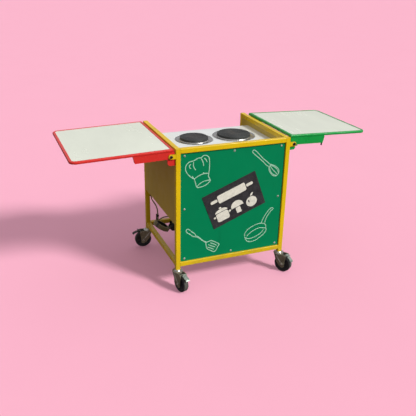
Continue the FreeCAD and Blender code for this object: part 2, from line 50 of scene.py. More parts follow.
# Heights are given for this rail top, and follow the frame's own rail top.
RAIL_TOP = 797.0
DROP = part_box("rail_top_front")[1].z / MM - RAIL_TOP

# Frame, in mm about its middle: the tube, the posts' and rails' centre lines, the board's outer face.
TUBE = 25.0
POST_X = 307.5
POST_Y = 271.5
TOP_RAIL = RAIL_TOP - TUBE / 2
MID_RAIL = 677.5
LOW_RAIL = 154.5
PANEL_FACE = -276.0
SCREW_X = 272.0
SCREW_ROWS = (183.0, 469.5, 756.0)

# Plaque: its middle on the board, as x and z, and its turn.
PLAQUE_MIDDLE = (9.1, 481.2)
PLAQUE_TURN = math.radians(21.0)

# Hob: each plate's middle and diameter, the sheet's top and pressed dish, the cook's side, the knobs.
PLATES = {"left": (-112.0, 155.0), "right": (126.0, 185.0)}
PLATE_Y = 12.0
HOB_TOP = 747.0
DISH = HOB_TOP - 3.0
HOB_REAR = 178.0
KNOB_X = {"left": -150.0, "right": 150.0}
KNOB_Z = 716.0

# Casters: each trail's heading in degrees, the axle, the fork's outer face, the lever's pin and stroke.
CASTERS = {"front_left": -75.0, "front_right": -57.0, "rear_left": 176.0, "rear_right": 75.0}
TRAIL = 34.0
AXLE_Z = 50.0
FORK_FACE = 20.5
LEVER_X = 49.5
LEVER_Z = 103.5
BRAKE_STROKE = math.radians(25.0)
PRESSED = ("front_right",)

# Mains lead: the cable's radius, the coil's middle and tilt, the back end and the face of the plug.
CABLE_RADIUS = 4.0
COIL_MIDDLE = (-244.3, 202.0, 159.6)
COIL_TILT = math.radians(32.0)
PLUG_BACK = (-160.0, 238.0, 136.0)
PLUG_FACE = (-160.0, 218.0, 121.0)

# Leaf hinges: the front and back bolts, on both sides.
BOLT_X = 344.0
BOLT_Y = (-283.5, 186.0)
BOLT_Z = 760.0

UP = Vector((0, 0, 1))
FORWARD = Vector((0, -1, 0))
BACK = Vector((0, 1, 0))


def at(x, y, z):
    """A place in millimetres about the middle of the frame, as metres in the CAD's frame."""
    return Vector((MID_X + x * MM, y * MM, (z + DROP) * MM))


# ---- camera ----
def make_camera():
    """A camera in front and to the left, looking down: its right and up directions and its place."""
    data = bpy.data.cameras.new("camera")
    data.sensor_width = 36.0
    data.lens = 48.667
    data.clip_start = 0.05
    camera = bpy.data.objects.new("camera", data)
    bpy.context.scene.collection.objects.link(camera)
    right = Vector((0.92485, -0.37976, 0.02068))
    up = Vector((0.13427, 0.37691, 0.91647))
    back = right.cross(up)
    place = Vector((-1.1700, -2.7559, 1.6248))
    turn = Matrix((right, up, back)).transposed()
    camera.matrix_world = Matrix.Translation(place) @ turn.to_4x4()
    bpy.context.scene.camera = camera


# ---- material graph ----
def srgb(r, g, b):
    """A 0-255 screen colour as linear light."""
    out = []
    for value in (r, g, b):
        v = value / 255
        out.append(v / 12.92 if v <= 0.04045 else ((v + 0.055) / 1.055) ** 2.4)
    return tuple(out)


def shade(colour, k):
    """The colour, k times as bright."""
    return tuple(min(1.0, c * k) for c in colour)


class Graph:
    """One material's node tree, with short names for what it is built from."""

    def __init__(self, name):
        self.material = bpy.data.materials.new(name)
        self.material.use_nodes = True
        self.tree = self.material.node_tree
        self.shader = self.tree.nodes["Principled BSDF"]
        self.place = self.add("ShaderNodeTexCoord").outputs["Object"]

    def add(self, kind, **settings):
        made = self.tree.nodes.new(kind)
        for key, value in settings.items():
            setattr(made, key, value)
        return made

    def plug(self, socket, value):
        """Link another node's output to the socket, or set it to a plain value."""
        if isinstance(value, bpy.types.NodeSocket):
            self.tree.links.new(value, socket)
        elif isinstance(value, tuple) and len(value) == 3 and socket.type == "RGBA":
            socket.default_value = value + (1.0,)
        else:
            socket.default_value = value

    def noise(self, scale, detail=3.0, rough=0.55, place=None):
        made = self.add("ShaderNodeTexNoise")
        self.plug(made.inputs["Vector"], self.place if place is None else place)
        made.inputs["Scale"].default_value = scale
        made.inputs["Detail"].default_value = detail
        made.inputs["Roughness"].default_value = rough
        return made.outputs["Fac"]

    def stretch(self, x, y, z):
        """The object's own coordinates, scaled, for noise that runs one way."""
        made = self.add("ShaderNodeMapping")
        self.plug(made.inputs["Vector"], self.place)
        made.inputs["Scale"].default_value = (x, y, z)
        return made.outputs["Vector"]

    def ramp(self, value, low, high, out_low, out_high):
        """The value, from low to high, spread over out_low to out_high."""
        made = self.add("ShaderNodeMapRange")
        self.plug(made.inputs["Value"], value)
        made.inputs["From Min"].default_value = low
        made.inputs["From Max"].default_value = high
        made.inputs["To Min"].default_value = out_low
        made.inputs["To Max"].default_value = out_high
        return made.outputs["Result"]

    def math(self, kind, a, b=0.0):
        made = self.add("ShaderNodeMath", operation=kind)
        self.plug(made.inputs[0], a)
        self.plug(made.inputs[1], b)
        return made.outputs["Value"]

    def mix(self, fac, a, b):
        made = self.add("ShaderNodeMix", data_type="RGBA")
        self.plug(made.inputs["Factor"], fac)
        self.plug(made.inputs[6], a)
        self.plug(made.inputs[7], b)
        return made.outputs[2]

    def axis(self, name):
        made = self.add("ShaderNodeSeparateXYZ")
        self.plug(made.inputs[0], self.place)
        return made.outputs[name]

    def edges(self, radius):
        """1 along sharp edges, 0 on the flats."""
        soft = self.add("ShaderNodeBevel", samples=4)
        soft.inputs["Radius"].default_value = radius
        flat = self.add("ShaderNodeNewGeometry")
        dot = self.add("ShaderNodeVectorMath", operation="DOT_PRODUCT")
        self.plug(dot.inputs[0], soft.outputs["Normal"])
        self.plug(dot.inputs[1], flat.outputs["Normal"])
        return self.ramp(dot.outputs["Value"], 0.99, 0.85, 0.0, 1.0)

    def bump(self, height, distance, strength=1.0, under=None):
        made = self.add("ShaderNodeBump")
        made.inputs["Strength"].default_value = strength
        made.inputs["Distance"].default_value = distance
        self.plug(made.inputs["Height"], height)
        if under is not None:
            self.plug(made.inputs["Normal"], under)
        return made.outputs["Normal"]

    def glow(self, colour, strength):
        """The surface's own light."""
        self.plug(self.shader.inputs["Emission Color"], colour)
        self.shader.inputs["Emission Strength"].default_value = strength

    def finish(self, colour, rough, normal=None, metal=0.0, coat=0.0, spec=0.5):
        """Set the shader's sockets and hand over the material."""
        self.plug(self.shader.inputs["Base Color"], colour)
        self.plug(self.shader.inputs["Roughness"], rough)
        self.shader.inputs["Metallic"].default_value = metal
        self.shader.inputs["Coat Weight"].default_value = coat
        self.shader.inputs["Coat Roughness"].default_value = 0.08
        self.shader.inputs["Specular IOR Level"].default_value = spec
        if normal is not None:
            self.plug(self.shader.inputs["Normal"], normal)
        return self.material


def painted(name, colour, rough, wear, grime=0.35):
    """Gloss enamel on steel: blotches, orange peel, grime low down and rubbed edges."""
    g = Graph(name)
    dirt = (0.14, 0.11, 0.075)
    bare = (0.16, 0.13, 0.10)
    tone = g.ramp(g.noise(6.0, 4.0), 0.3, 0.7, 0.0, 1.0)
    base = g.mix(tone, shade(colour, 0.93), shade(colour, 1.05))
    base = g.mix(g.ramp(g.noise(140.0), 0.5, 0.8, 0.0, 0.25), base, shade(colour, 0.78))
    low = g.ramp(g.axis("Z"), 0.28, 0.08, 0.0, grime)
    dust = g.math("MULTIPLY", low, g.ramp(g.noise(22.0, 5.0), 0.35, 0.65, 0.2, 1.0))
    base = g.mix(dust, base, dirt)
    spots = g.ramp(g.noise(75.0, 5.0), 0.52, 0.60, 0.0, wear)
    rubbed = g.math("MULTIPLY", g.edges(0.0016), spots)
    base = g.mix(rubbed, base, bare)
    gloss = g.ramp(g.noise(17.0, 4.0), 0.3, 0.7, rough - 0.06, rough + 0.10)
    peel = g.bump(g.noise(420.0, 2.0), 0.00012, 0.6)
    peel = g.bump(rubbed, -0.00015, 0.8, peel)
    return g.finish(base, gloss, peel, coat=0.12, spec=0.35)


def board_green(name, colour):
    """Painted front board: an even satin colour with a fine stipple and faint scuffs."""
    g = Graph(name)
    stipple = g.noise(520.0, 2.0, 0.7)
    base = g.mix(g.ramp(g.noise(5.0, 3.0), 0.3, 0.7, 0.0, 1.0), shade(colour, 0.95), shade(colour, 1.05))
    base = g.mix(g.ramp(stipple, 0.4, 0.75, 0.0, 0.30), base, shade(colour, 1.25))
    scuff = g.ramp(g.noise(30.0, 6.0, 0.7, g.stretch(1.0, 1.0, 0.18)), 0.63, 0.72, 0.0, 0.22)
    base = g.mix(scuff, base, shade(colour, 0.6))
    gloss = g.ramp(g.noise(24.0, 3.0), 0.3, 0.7, 0.40, 0.52)
    return g.finish(base, gloss, g.bump(stipple, 0.0001, 0.6), spec=0.12)


def enamel_white(name):
    """Vitreous enamel: glassy, a little uneven, browned faintly where it gets hot."""
    g = Graph(name)
    white = srgb(247, 252, 251)
    base = g.mix(g.ramp(g.noise(11.0, 4.0), 0.35, 0.7, 0.0, 1.0), white, shade(white, 0.93))
    stain = g.ramp(g.noise(38.0, 6.0, 0.65), 0.60, 0.75, 0.0, 0.25)
    base = g.mix(stain, base, srgb(190, 178, 150))
    gloss = g.ramp(g.noise(60.0, 4.0), 0.3, 0.8, 0.10, 0.24)
    return g.finish(base, gloss, g.bump(g.noise(90.0, 2.0), 0.0001, 0.5), coat=0.6)


def laminate(name):
    """Off-white work surface with a wiped gloss and faint cloudy streaks."""
    g = Graph(name)
    white = srgb(240, 246, 230)
    cloud = g.noise(4.0, 5.0, 0.6, g.stretch(1.0, 0.35, 1.0))
    base = g.mix(g.ramp(cloud, 0.35, 0.65, 0.0, 1.0), shade(white, 0.95), shade(white, 1.03))
    base = g.mix(g.ramp(g.noise(300.0, 2.0), 0.55, 0.8, 0.0, 0.25), base, shade(white, 0.86))
    fine = g.ramp(g.noise(45.0, 6.0, 0.7, g.stretch(1.0, 0.12, 1.0)), 0.62, 0.70, 0.0, 0.20)
    base = g.mix(fine, base, shade(white, 0.80))
    gloss = g.ramp(g.noise(9.0, 5.0, 0.6, g.stretch(1.0, 0.3, 1.0)), 0.3, 0.7, 0.14, 0.30)
    return g.finish(base, gloss, g.bump(g.noise(210.0, 2.0), 0.00008, 0.4), coat=0.35)


def plate_middle(hand):
    """A hot plate's axis, at the height that the outlines' own heights start from."""
    return at(PLATES[hand][0], PLATE_Y, 0)


def cast_iron(name, centre):
    """Turned cast iron, blackened, with dull heat marks towards the middle."""
    g = Graph(name)
    shift = g.add("ShaderNodeVectorMath", operation="SUBTRACT")
    g.plug(shift.inputs[0], g.place)
    shift.inputs[1].default_value = (centre.x, centre.y, 0.0)
    flat = g.add("ShaderNodeVectorMath", operation="MULTIPLY")
    g.plug(flat.inputs[0], shift.outputs["Vector"])
    flat.inputs[1].default_value = (1.0, 1.0, 0.0)
    reach = g.add("ShaderNodeVectorMath", operation="LENGTH")
    g.plug(reach.inputs[0], flat.outputs["Vector"])
    radius = reach.outputs["Value"]
    turned = g.math("SINE", g.math("MULTIPLY", radius, 5200.0))
    dark = srgb(56, 59, 59)
    base = g.mix(g.ramp(g.noise(26.0, 5.0), 0.3, 0.7, 0.0, 1.0), shade(dark, 0.72), shade(dark, 1.25))
    inner = g.ramp(radius, 0.06, 0.02, 0.0, 0.5)
    heat = g.math("MULTIPLY", inner, g.ramp(g.noise(30.0, 4.0), 0.4, 0.7, 0.0, 1.0))
    base = g.mix(heat, base, srgb(92, 82, 72))
    rough = g.ramp(g.noise(70.0, 4.0), 0.3, 0.7, 0.42, 0.62)
    normal = g.bump(turned, 0.00005, 0.7)
    normal = g.bump(g.noise(480.0, 3.0), 0.0001, 0.6, normal)
    return g.finish(base, rough, normal, metal=0.25, spec=0.5)


def plated(name, colour, rough, dull, metal=0.9):
    """Zinc-plated or bare steel with cloudy spangle, rubbed bright along its edges."""
    g = Graph(name)
    spangle = g.add("ShaderNodeTexVoronoi")
    g.plug(spangle.inputs["Vector"], g.place)
    spangle.inputs["Scale"].default_value = 260.0
    patch = g.ramp(g.noise(48.0, 5.0), 0.3, 0.7, 0.0, 1.0)
    base = g.mix(patch, shade(colour, 0.62), shade(colour, 1.12))
    base = g.mix(g.ramp(spangle.outputs["Distance"], 0.1, 0.8, 0.0, 0.3), base, shade(colour, 0.8))
    stain = g.ramp(g.noise(85.0, 6.0, 0.7), 0.56, 0.68, 0.0, dull)
    base = g.mix(stain, base, srgb(88, 80, 58))
    base = g.mix(g.math("MULTIPLY", g.edges(0.001), 0.6), base, shade(colour, 1.5))
    gloss = g.ramp(g.noise(65.0, 4.0), 0.3, 0.7, rough - 0.06, rough + 0.16)
    return g.finish(base, gloss, g.bump(g.noise(330.0, 4.0), 0.00012, 0.6), metal=metal)


def moulded(name, colour, rough, grain, dust, coat=0.0):
    """Moulded plastic or rubber: fine grain and a little pale dust."""
    g = Graph(name)
    base = g.mix(g.ramp(g.noise(20.0, 4.0), 0.3, 0.7, 0.0, 1.0), shade(colour, 0.8), shade(colour, 1.25))
    haze = g.ramp(g.noise(55.0, 6.0, 0.7), 0.52, 0.72, 0.0, dust)
    base = g.mix(haze, base, srgb(120, 116, 104))
    gloss = g.ramp(g.noise(36.0, 4.0), 0.3, 0.7, rough - 0.07, rough + 0.12)
    return g.finish(base, gloss, g.bump(g.noise(700.0, 3.0), 0.00015, grain), coat=coat)


def slate(name):
    """The plaque's ground: near-black with a cloudy, chalky mottle."""
    g = Graph(name)
    dark = srgb(54, 53, 57)
    cloud = g.ramp(g.noise(24.0, 6.0, 0.7), 0.35, 0.65, 0.0, 1.0)
    base = g.mix(cloud, shade(dark, 0.72), shade(dark, 1.25))
    chalk = g.ramp(g.noise(160.0, 4.0, 0.7), 0.5, 0.75, 0.0, 0.4)
    base = g.mix(chalk, base, srgb(96, 88, 84))
    gloss = g.ramp(g.noise(40.0), 0.3, 0.7, 0.42, 0.6)
    return g.finish(base, gloss, g.bump(g.noise(420.0, 3.0), 0.0001, 0.5), spec=0.15)


def line_paint(name, colour):
    """Hand-laid sign paint or film: brushy tone and a soft sheen."""
    g = Graph(name)
    brush = g.ramp(g.noise(70.0, 5.0, 0.6), 0.35, 0.65, 0.0, 1.0)
    base = g.mix(brush, shade(colour, 0.86), shade(colour, 1.06))
    base = g.mix(g.ramp(g.noise(240.0, 3.0), 0.58, 0.75, 0.0, 0.35), base, shade(colour, 0.7))
    gloss = g.ramp(g.noise(90.0), 0.3, 0.7, 0.37, 0.55)
    return g.finish(base, gloss, g.bump(g.noise(300.0), 0.0001, 0.5))


def lens(name, colour):
    """A lamp's clear moulded cap."""
    g = Graph(name)
    base = g.mix(g.ramp(g.noise(200.0, 2.0), 0.3, 0.7, 0.0, 1.0), shade(colour, 0.8), shade(colour, 1.1))
    g.shader.inputs["Transmission Weight"].default_value = 0.35
    gloss = g.ramp(g.noise(120.0), 0.3, 0.7, 0.08, 0.16)
    return g.finish(base, gloss, g.bump(g.noise(260.0), 0.0001, 0.3))


def floor_look(name):
    """Matt pale floor; a little of its own light keeps the shadow on it soft."""
    g = Graph(name)
    pale = srgb(255, 184, 208)
    base = g.mix(g.ramp(g.noise(1.4, 3.0), 0.3, 0.7, 0.0, 1.0), shade(pale, 0.867), shade(pale, 0.88))
    g.glow(pale, 0.12)
    return g.finish(base, g.ramp(g.noise(3.0), 0.3, 0.7, 0.72, 0.8), spec=0.2)


def backdrop_look(name):
    """Far wall of the stage, the same in every direction."""
    g = Graph(name)
    g.glow(srgb(253, 184, 206), 1.0)
    return g.finish((0.0, 0.0, 0.0), 1.0, spec=0.0)


LOOK = {
    "yellow": painted("yellow_enamel", srgb(236, 198, 16), 0.30, 0.55),
    # A darker, browner copy of the yellow enamel for the side panels and well walls: painted shade.
    "painted_shade_yellow": painted("painted_shade_yellow_enamel", srgb(204, 176, 66), 0.34, 0.55),
    "red": painted("red_enamel", srgb(226, 52, 46), 0.26, 0.4, grime=0.0),
    "green": painted("green_enamel", srgb(18, 162, 70), 0.26, 0.4, grime=0.0),
    "steel_sheet": painted("grey_enamel", srgb(205, 206, 204), 0.32, 0.3, grime=0.0),
    "board": board_green("board_green", srgb(0, 131, 84)),
    "enamel": enamel_white("white_enamel"),
    "laminate": laminate("white_laminate"),
    "bright": plated("bright_steel", srgb(205, 205, 200), 0.26, 0.2),
    "chrome": plated("polished_steel", srgb(214, 216, 214), 0.14, 0.12, metal=1.0),
    "zinc": plated("zinc_plate", srgb(152, 148, 126), 0.36, 0.5, metal=0.45),
    "screw": plated("screw_zinc", srgb(196, 206, 194), 0.40, 0.2, metal=0.35),
    "pedal": plated("pedal_zinc", srgb(170, 182, 174), 0.42, 0.35, metal=0.45),
    # A darker copy of the pedal zinc for the rear left lever: painted shade.
    "pedal_painted_shade": plated("pedal_zinc_painted_shade", srgb(70, 72, 68), 0.45, 0.4, metal=0.4),
    "black_steel": plated("black_oxide", srgb(74, 72, 68), 0.38, 0.35),
    "plate_left": cast_iron("cast_iron_left", plate_middle("left")),
    "plate_right": cast_iron("cast_iron_right", plate_middle("right")),
    "plastic": moulded("black_plastic", srgb(34, 34, 36), 0.40, 0.5, 0.2, coat=0.1),
    "rubber": moulded("black_rubber", srgb(40, 41, 46), 0.62, 0.8, 0.35),
    "tread": moulded("worn_tread", srgb(84, 84, 78), 0.72, 0.9, 0.6),
    "hub": moulded("hub_nylon", srgb(46, 47, 52), 0.44, 0.4, 0.25),
    "cable": moulded("cable_rubber", srgb(150, 142, 108), 0.55, 0.4, 0.3),
    "slate": slate("plaque_slate"),
    "cream": line_paint("cream_enamel", srgb(238, 236, 222)),
    "mint": line_paint("mint_line", srgb(176, 222, 196)),
    "white_line": line_paint("white_line", srgb(236, 236, 232)),
    "amber": lens("amber_lens", srgb(240, 120, 20)),
}


# ---- CAD nodes that are shown as they are ----
def dress(node, look, bevel):
    """Give a CAD node its look and, where its edges show, a small bevel in mm."""
    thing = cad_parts[node]
    thing.data.materials.clear()
    thing.data.materials.append(LOOK[look])
    if bevel > 0:
        soft = thing.modifiers.new("softened", "BEVEL")
        soft.width = bevel * MM
        soft.segments = 3
        soft.limit_method = "ANGLE"
        soft.angle_limit = math.radians(35)
        soft.harden_normals = True


# ---- mesh helpers: a shape is a pair of vertices, in metres, and faces ----
def mesh_of(name, shape, smooth_angle=35.0):
    """A mesh whose edges stay sharp above smooth_angle degrees."""
    verts, faces = shape
    mesh = bpy.data.meshes.new(name)
    mesh.from_pydata([tuple(v) for v in verts], [], faces)
    work = bmesh.new()
    work.from_mesh(mesh)
    bmesh.ops.recalc_face_normals(work, faces=work.faces)
    limit = math.radians(smooth_angle)
    for face in work.faces:
        face.smooth = True
    for edge in work.edges:
        edge.smooth = len(edge.link_faces) == 2 and edge.calc_face_angle(0.0) < limit
    work.to_mesh(mesh)
    work.free()
    return mesh


def piece(name, shape, look, body, smooth_angle=35.0):
    """One visible piece: its shape, its look and the body it rides on."""
    mesh = mesh_of(name, shape, smooth_angle)
    mesh.materials.append(LOOK[look])
    thing = bpy.data.objects.new(name, mesh)
    bpy.context.scene.collection.objects.link(thing)
    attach(thing, body)
    return thing


def lathe(profile, place, around, segments, ripple=None):
    """Turn (radius, height) pairs, in mm, about an axis through place. The outline starts and ends
    on the axis, or closes on itself."""
    axis = Vector(around).normalized()
    side = axis.orthogonal().normalized()
    other = axis.cross(side)
    verts = []
    rows = []
    for radius, height in profile:
        if radius < 1e-6:
            rows.append([len(verts)])
            verts.append(place + axis * height * MM)
            continue
        row = []
        for i in range(segments):
            angle = 2 * math.pi * i / segments
            r = radius * (1 + (ripple(angle, radius, height) if ripple else 0.0)) * MM
            out = side * r * math.cos(angle) + other * r * math.sin(angle)
            row.append(len(verts))
            verts.append(place + axis * height * MM + out)
        rows.append(row)
    faces = []
    for a, b in zip(rows, rows[1:]):
        for i in range(segments):
            j = (i + 1) % segments
            if len(a) == 1 and len(b) == 1:
                continue
            if len(a) == 1:
                faces.append((a[0], b[j], b[i]))
            elif len(b) == 1:
                faces.append((a[i], a[j], b[0]))
            else:
                faces.append((a[i], a[j], b[j], b[i]))
    return verts, faces


def joined(parts):
    """Several shapes as one."""
    verts = []
    faces = []
    for more_verts, more_faces in parts:
        start = len(verts)
        verts += list(more_verts)
        faces += [tuple(i + start for i in face) for face in more_faces]
    return verts, faces


def rounded_path(points, closed, steps):
    """Catmull-Rom curve through points, with so many steps to each."""
    count = len(points)
    spans = count if closed else count - 1
    out = []
    for i in range(spans):
        quad = []
        for k in (-1, 0, 1, 2):
            j = (i + k) % count if closed else min(max(i + k, 0), count - 1)
            quad.append(Vector(points[j]))
        a, b, c, d = quad
        for s in range(steps):
            t = s / steps
            out.append(0.5 * ((2 * b) + (c - a) * t + (2 * a - 5 * b + 4 * c - d) * t * t
                              + (3 * b - a - 3 * c + d) * t ** 3))
    if not closed:
        out.append(Vector(points[-1]))
    return out


def sweep(path, section, closed=False, up=UP):
    """Carry a closed section of (across, up) offsets in mm along a path in metres."""
    verts = []
    count = len(path)
    size = len(section)
    for i, here in enumerate(path):
        ahead = path[(i + 1) % count] if closed or i < count - 1 else here
        behind = path[i - 1] if closed or i > 0 else here
        along = (ahead - behind).normalized()
        across = along.cross(up)
        across = across.normalized() if across.length > 1e-6 else along.orthogonal().normalized()
        rise = across.cross(along)
        for u, v in section:
            verts.append(here + across * u * MM + rise * v * MM)
    faces = []
    for i in range(count if closed else count - 1):
        j = (i + 1) % count
        for k in range(size):
            m = (k + 1) % size
            faces.append((i * size + k, i * size + m, j * size + m, j * size + k))
    if not closed:
        faces.append(tuple(range(size))[::-1])
        faces.append(tuple((count - 1) * size + k for k in range(size)))
    return verts, faces


def circle(radius, sides):
    """A round section for sweep."""
    turns = [2 * math.pi * i / sides for i in range(sides)]
    return [(radius * math.cos(turn), radius * math.sin(turn)) for turn in turns]


def block(x0, y0, z0, x1, y1, z1, edge):
    """A box with chamfered edges, in mm about the middle of the frame."""
    work = bmesh.new()
    bmesh.ops.create_cube(work, size=1.0)
    size = Vector((abs(x1 - x0), abs(y1 - y0), abs(z1 - z0)))
    middle = Vector(((x0 + x1) / 2, (y0 + y1) / 2, (z0 + z1) / 2))
    for v in work.verts:
        v.co = Vector((v.co.x * size.x, v.co.y * size.y, v.co.z * size.z)) + middle
    bmesh.ops.bevel(work, geom=list(work.edges), offset=edge, segments=2, affect="EDGES")
    work.verts.index_update()
    verts = [at(*v.co) for v in work.verts]
    faces = [tuple(v.index for v in f.verts) for f in work.faces]
    work.free()
    return verts, faces


# ---- frame details ----
def weld_loop(x, y, z, run, seed):
    """A weld bead round a square tube that runs along x or y, where it meets its neighbour."""
    rng = random.Random(seed)
    half = TUBE / 2
    corner = 2.2
    loop = []
    for side, top, start in ((1, 1, 0), (-1, 1, 90), (-1, -1, 180), (1, -1, 270)):
        for step in range(4):
            angle = math.radians(start + 30 * step)
            loop.append((side * (half - corner) + corner * math.cos(angle),
                         top * (half - corner) + corner * math.sin(angle)))
    path = []
    for (u, v), (next_u, next_v) in zip(loop, loop[1:] + loop[:1]):
        steps = max(1, int(math.hypot(next_u - u, next_v - v) / 2.0))
        for k in range(steps):
            wobble = rng.uniform(-0.15, 0.15)
            across = u + (next_u - u) * k / steps
            rise = v + (next_v - v) * k / steps
            if run == "x":
                path.append(at(x + wobble, y + across, z + rise))
            else:
                path.append(at(x + across, y + wobble, z + rise))
    along = Vector((1, 0, 0)) if run == "x" else BACK
    return sweep(path, circle(1.1, 8), closed=True, up=along)


def welds():
    """Beads at both ends of each rail that joins two posts."""
    inner_x = POST_X - TUBE / 2
    inner_y = POST_Y - TUBE / 2
    cross_rails = ((-POST_Y, TOP_RAIL), (-POST_Y, LOW_RAIL), (POST_Y, LOW_RAIL), (POST_Y, MID_RAIL))
    side_rails = [(x, z) for x in (-POST_X, POST_X) for z in (TOP_RAIL, LOW_RAIL)]
    ends = [(x, y, z, "x") for y, z in cross_rails for x in (-inner_x, inner_x)]
    ends += [(x, y, z, "y") for x, z in side_rails for y in (-inner_y, inner_y)]
    beads = [weld_loop(*end, seed) for seed, end in enumerate(ends, 1)]
    piece("frame_welds", joined(beads), "yellow", "base")


def panel_screw_set():
    """Pan-head screws with a cross recess, three along each end and one up each side."""
    low, middle, high = SCREW_ROWS
    places = [(x, z) for z in (high, low) for x in (-SCREW_X, 0.0, SCREW_X)]
    places += [(-SCREW_X, middle), (SCREW_X, middle)]
    head = [(0, 2.3), (1.6, 2.3), (2.0, 2.9), (3.6, 2.8), (5.2, 2.0), (5.9, 0.8), (5.9, 0.0), (0, 0)]
    slot = [(-0.45, -0.3), (0.45, -0.3), (0.45, 0.3), (-0.45, 0.3)]
    heads = []
    marks = []
    for x, z in places:
        heads.append(lathe(head, at(x, PANEL_FACE, z), FORWARD, 28))
        turn = 0.7 * x + 0.31 * z
        for extra in (0, 90):
            angle = math.radians(turn + extra)
            arm = Vector((math.cos(angle), 0, math.sin(angle))) * 2.6 * MM
            centre = at(x, PANEL_FACE - 2.75, z)
            marks.append(sweep([centre - arm, centre + arm], slot, up=FORWARD))
    made = piece("panel_screw_heads", joined(heads), "screw", "base")
    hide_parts("panel_screws")
    # Each head's cross recess is drawn as a dark black-oxide cross on the head: painted shade.
    piece("panel_screw_recess_shade", joined(marks), "black_steel", "base")


# ---- drawings on the front board: generic kitchen outlines, as (x, z) in mm ----
def ribbon(name, strokes, width):
    """Raised line work on the board: (points, closed) strokes, smoothed, each a hair above the last."""
    parts = []
    half = width / 2
    for k, (points, closed) in enumerate(strokes):
        height = 0.45 + 0.03 * k
        section = [(-half, -0.1), (half, -0.1), (half * 0.8, height), (-half * 0.8, height)]
        curve = rounded_path([(x, 0.0, z) for x, z in points], closed, 7)
        path = [at(point.x, PANEL_FACE, point.z) for point in curve]
        parts.append(sweep(path, section, closed, up=FORWARD))
    piece(name, joined(parts), "mint", "base")


def opened(*lines):
    """Strokes that don't close on themselves."""
    return [(line, False) for line in lines]


def draw_hat():
    """A cook's hat: the puffed top, the band and its two sides, the brim and the folds."""
    outline = [(-220, 629), (-238, 641), (-252, 656), (-262, 671), (-267, 687), (-265, 702), (-257, 714),
               (-243, 723), (-225, 726), (-209, 733), (-197, 738), (-184, 738), (-172, 747), (-159, 748),
               (-146, 741), (-139, 727), (-137, 700), (-138, 673), (-141, 650)]
    band = [(-220, 629), (-205, 638), (-185, 647), (-163, 652), (-141, 650)]
    right = [(-141, 650), (-142, 634), (-135, 621), (-131, 611)]
    left = [(-220, 629), (-213, 608), (-210, 594), (-205, 583)]
    brim = [(-205, 583), (-190, 580), (-168, 584), (-147, 594), (-131, 611), (-148, 613), (-170, 609),
            (-190, 599)]
    folds = [[(-224, 718), (-225, 702), (-220, 687), (-212, 676)],
             [(-239, 710), (-246, 701), (-244, 692), (-239, 686)],
             [(-183, 734), (-175, 718), (-171, 704), (-170, 693)],
             [(-167, 734), (-158, 726), (-151, 712)],
             [(-231, 646), (-225, 636)],
             [(-172, 658), (-164, 653)]]
    strokes = opened(outline, band, right, left) + [(brim, True)] + opened(*folds)
    ribbon("drawing_hat", strokes, 4.6)


def draw_whisk():
    """A whisk: the long handle and five wires."""
    handle = [(201, 649), (190, 656), (177, 669), (163, 683), (135, 708), (108, 731), (103, 740),
              (108, 748), (117, 746), (136, 729), (165, 698), (181, 685), (197, 671), (210, 660), (219, 657)]
    wires = [[(203, 647), (207, 627), (217, 609), (231, 594), (247, 589), (260, 595), (268, 610),
              (262, 628), (246, 643), (226, 654), (218, 658)],
             [(208, 646), (214, 624), (226, 606), (240, 596), (252, 591)],
             [(213, 650), (226, 631), (242, 614), (257, 599)],
             [(219, 652), (238, 641), (254, 627), (265, 607)],
             [(203, 647), (211, 650), (219, 657)]]
    ribbon("drawing_whisk", opened(handle, *wires), 4.2)


def draw_spatula():
    """A spatula: the grip, the neck, the blade and its three slots."""
    grip = [(-204, 301), (-222, 306), (-240, 321), (-256, 333), (-262, 344), (-256, 353), (-246, 350),
            (-230, 334), (-214, 320)]
    neck = [[(-206, 302), (-189, 292), (-170, 274), (-148, 256)],
            [(-200, 305), (-184, 290), (-166, 272), (-146, 260)]]
    blade = [(-148, 256), (-134, 260), (-120, 264), (-104, 257), (-86, 246), (-71, 234), (-79, 220),
             (-90, 199), (-103, 194), (-118, 203), (-139, 217), (-145, 231)]
    slots = [[(-122, 250), (-104, 242), (-86, 230)], [(-135, 243), (-115, 231), (-94, 221)],
             [(-138, 227), (-120, 219), (-101, 208)]]
    strokes = [(grip, True)] + opened(*neck) + [(blade, True)] + opened(*slots)
    ribbon("drawing_spatula", strokes, 4.6)


def draw_pan():
    """A frying pan: its rim, the front wall, the inner lip and the handle."""
    rim = [(81, 256), (82, 271), (95, 291), (117, 305), (145, 316), (172, 320), (196, 316), (208, 304),
           (208, 288), (194, 289), (172, 293), (147, 288), (118, 274), (94, 254)]
    front = [(82, 252), (88, 236), (101, 221), (124, 216), (154, 223), (184, 240), (207, 260), (213, 275),
             (209, 288)]
    lip = [(88, 245), (106, 237), (134, 239), (161, 249), (184, 263), (197, 280)]
    shaft = [(181, 321), (186, 339), (199, 362), (216, 387), (233, 402), (244, 403), (248, 397), (236, 387),
             (220, 367), (208, 345), (202, 320)]
    ribbon("drawing_pan", opened(rim, front, lip, shaft), 4.6)


# ---- plaque: outlines as (u, v) in mm about its middle ----
def on_plaque(u, v, out):
    """A point on the turned plaque, out mm in front of the board."""
    c = math.cos(PLAQUE_TURN)
    s = math.sin(PLAQUE_TURN)
    return at(PLAQUE_MIDDLE[0] + u * c - v * s, PANEL_FACE - out, PLAQUE_MIDDLE[1] + u * s + v * c)


